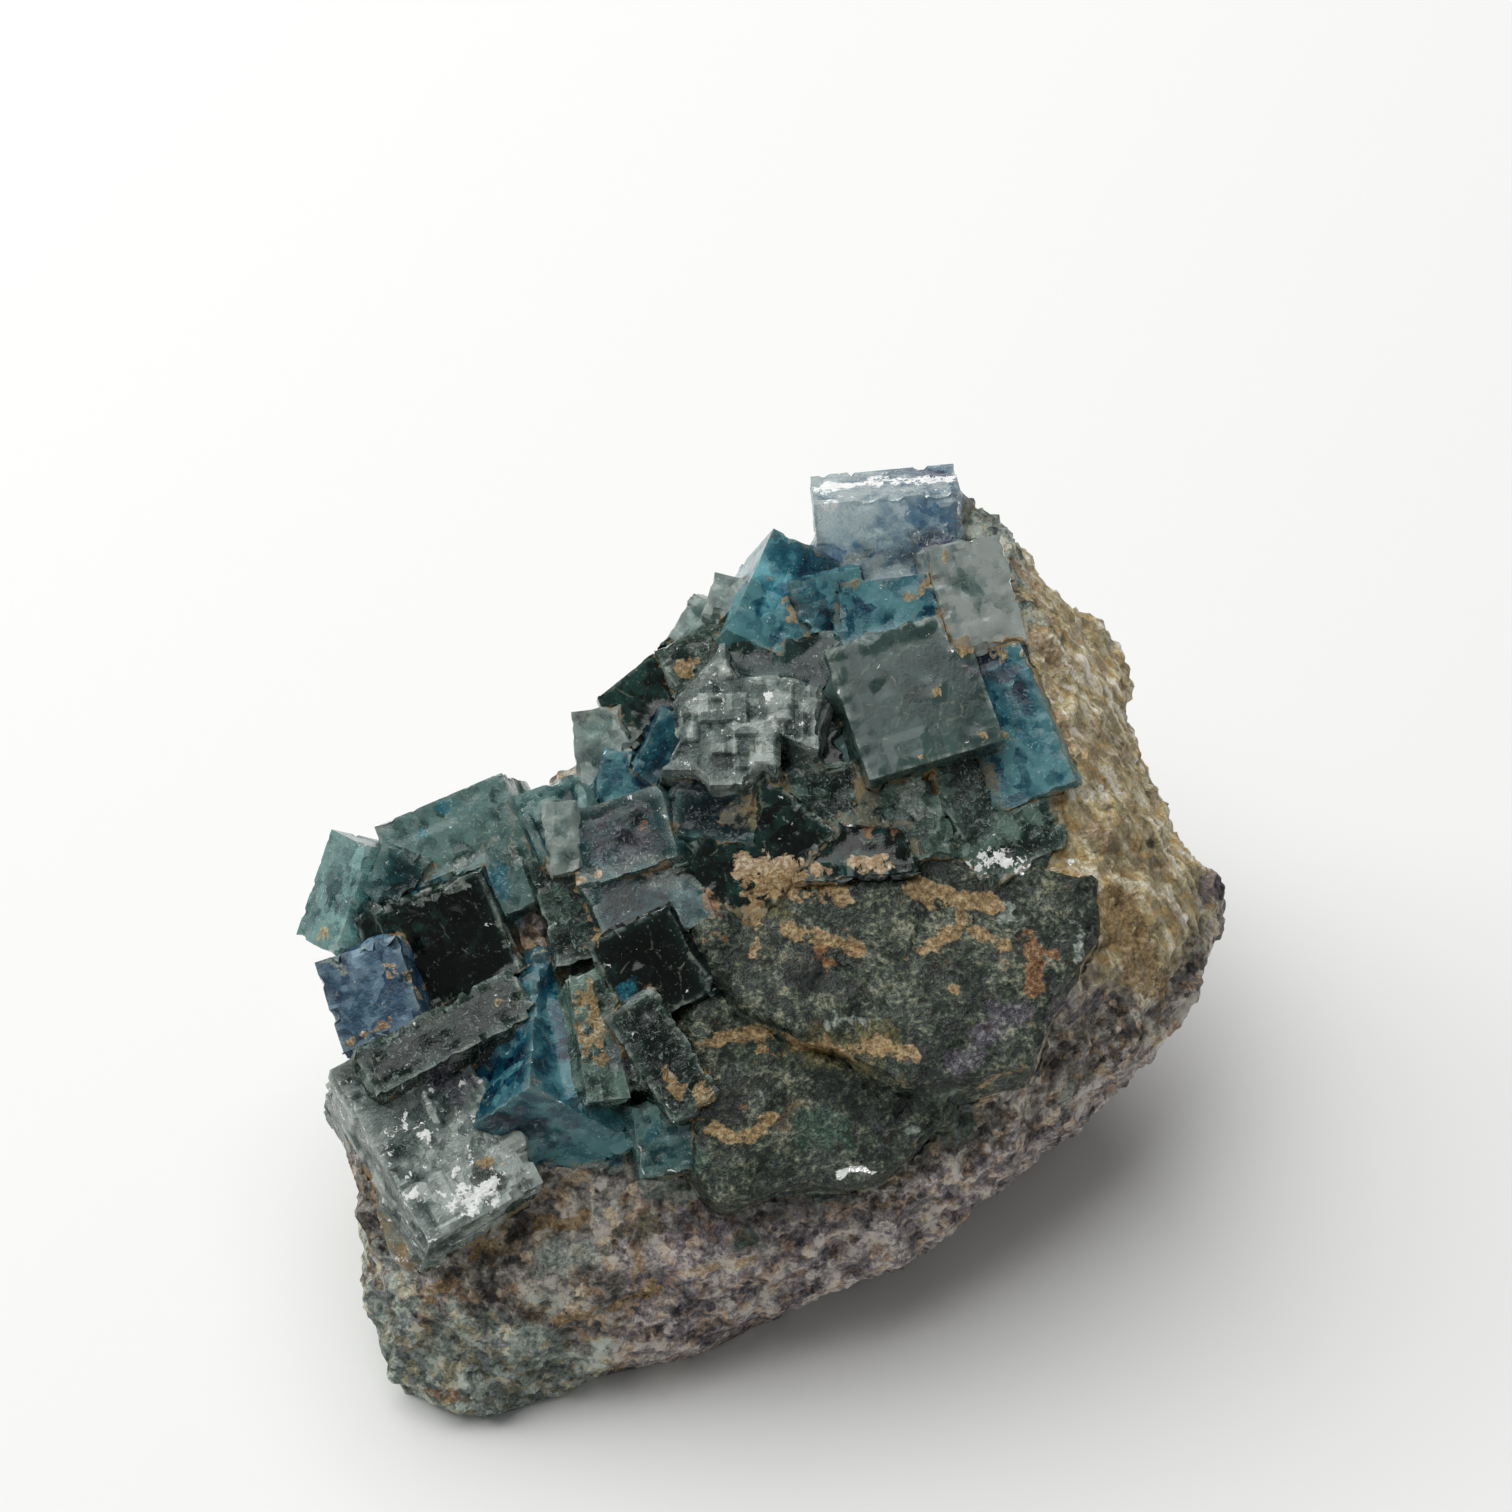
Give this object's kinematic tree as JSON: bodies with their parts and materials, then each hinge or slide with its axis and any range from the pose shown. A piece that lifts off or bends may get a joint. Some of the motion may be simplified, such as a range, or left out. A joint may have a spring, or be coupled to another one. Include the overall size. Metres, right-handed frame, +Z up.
{
  "type": "fluorite specimen",
  "caption": "Blue-green fluorite cubes intergrown on a sloping piece of brown and purple matrix rock, resting on its flat broken base.",
  "frame": {"origin": "middle of the footprint's bounding box, on the ground the specimen rests on", "axes": "+Z up, +X along the specimen's long way, -Y the side that the crystal slope faces"},
  "size_m": [0.074, 0.0608, 0.05],
  "materials": {
    "matrix": "rough broken stone",
    "fluorite_smoke": "polished",
    "fluorite_black": "polished",
    "fluorite_green": "satin",
    "fluorite_teal": "polished",
    "fluorite_blue": "polished",
    "fluorite_violet": "satin",
    "fluorite_pale": "polished",
    "fluorite_silver": "satin"
  },
  "bodies": {
    "root": {"matrix_rock": "matrix", "silver_corner": "fluorite_silver", "left_dark": "fluorite_black", "big_blue": "fluorite_blue", "left_back": "fluorite_smoke", "left_tip": "fluorite_pale", "left_frosted": "fluorite_blue", "teal_chip": "fluorite_teal", "saddle_teal": "fluorite_teal", "saddle_green": "fluorite_green", "saddle_pale": "fluorite_pale", "centre_teal": "fluorite_teal", "violet_wedge": "fluorite_violet", "centre_black": "fluorite_black", "stained_blade": "fluorite_green", "violet_block": "fluorite_violet", "foot_teal": "fluorite_teal", "pitted_shelf": "fluorite_green", "pale_left": "fluorite_pale", "blue_bar": "fluorite_blue", "green_top": "fluorite_green", "dark_bar": "fluorite_black", "blue_wedge": "fluorite_blue", "pale_crest_low": "fluorite_pale", "pale_crest_high": "fluorite_pale", "blue_tip": "fluorite_blue", "inner_blue": "fluorite_blue", "top_cube": "fluorite_violet", "right_pale": "fluorite_pale", "veil_crystal": "fluorite_teal", "grey_mirror": "fluorite_smoke", "deep_blue": "fluorite_blue", "stepped_mirror": "fluorite_silver", "mirror_shelf": "fluorite_smoke", "under_teal": "fluorite_teal", "dark_point": "fluorite_black", "mid_block": "fluorite_green", "pitted_slope": "fluorite_green", "upper_blue": "fluorite_blue", "dark_gap": "fluorite_black", "shadow_block": "fluorite_green", "lower_mid": "fluorite_black", "crusted_block": "fluorite_green", "lower_slab": "fluorite_green"}
  },
  "joints": []
}
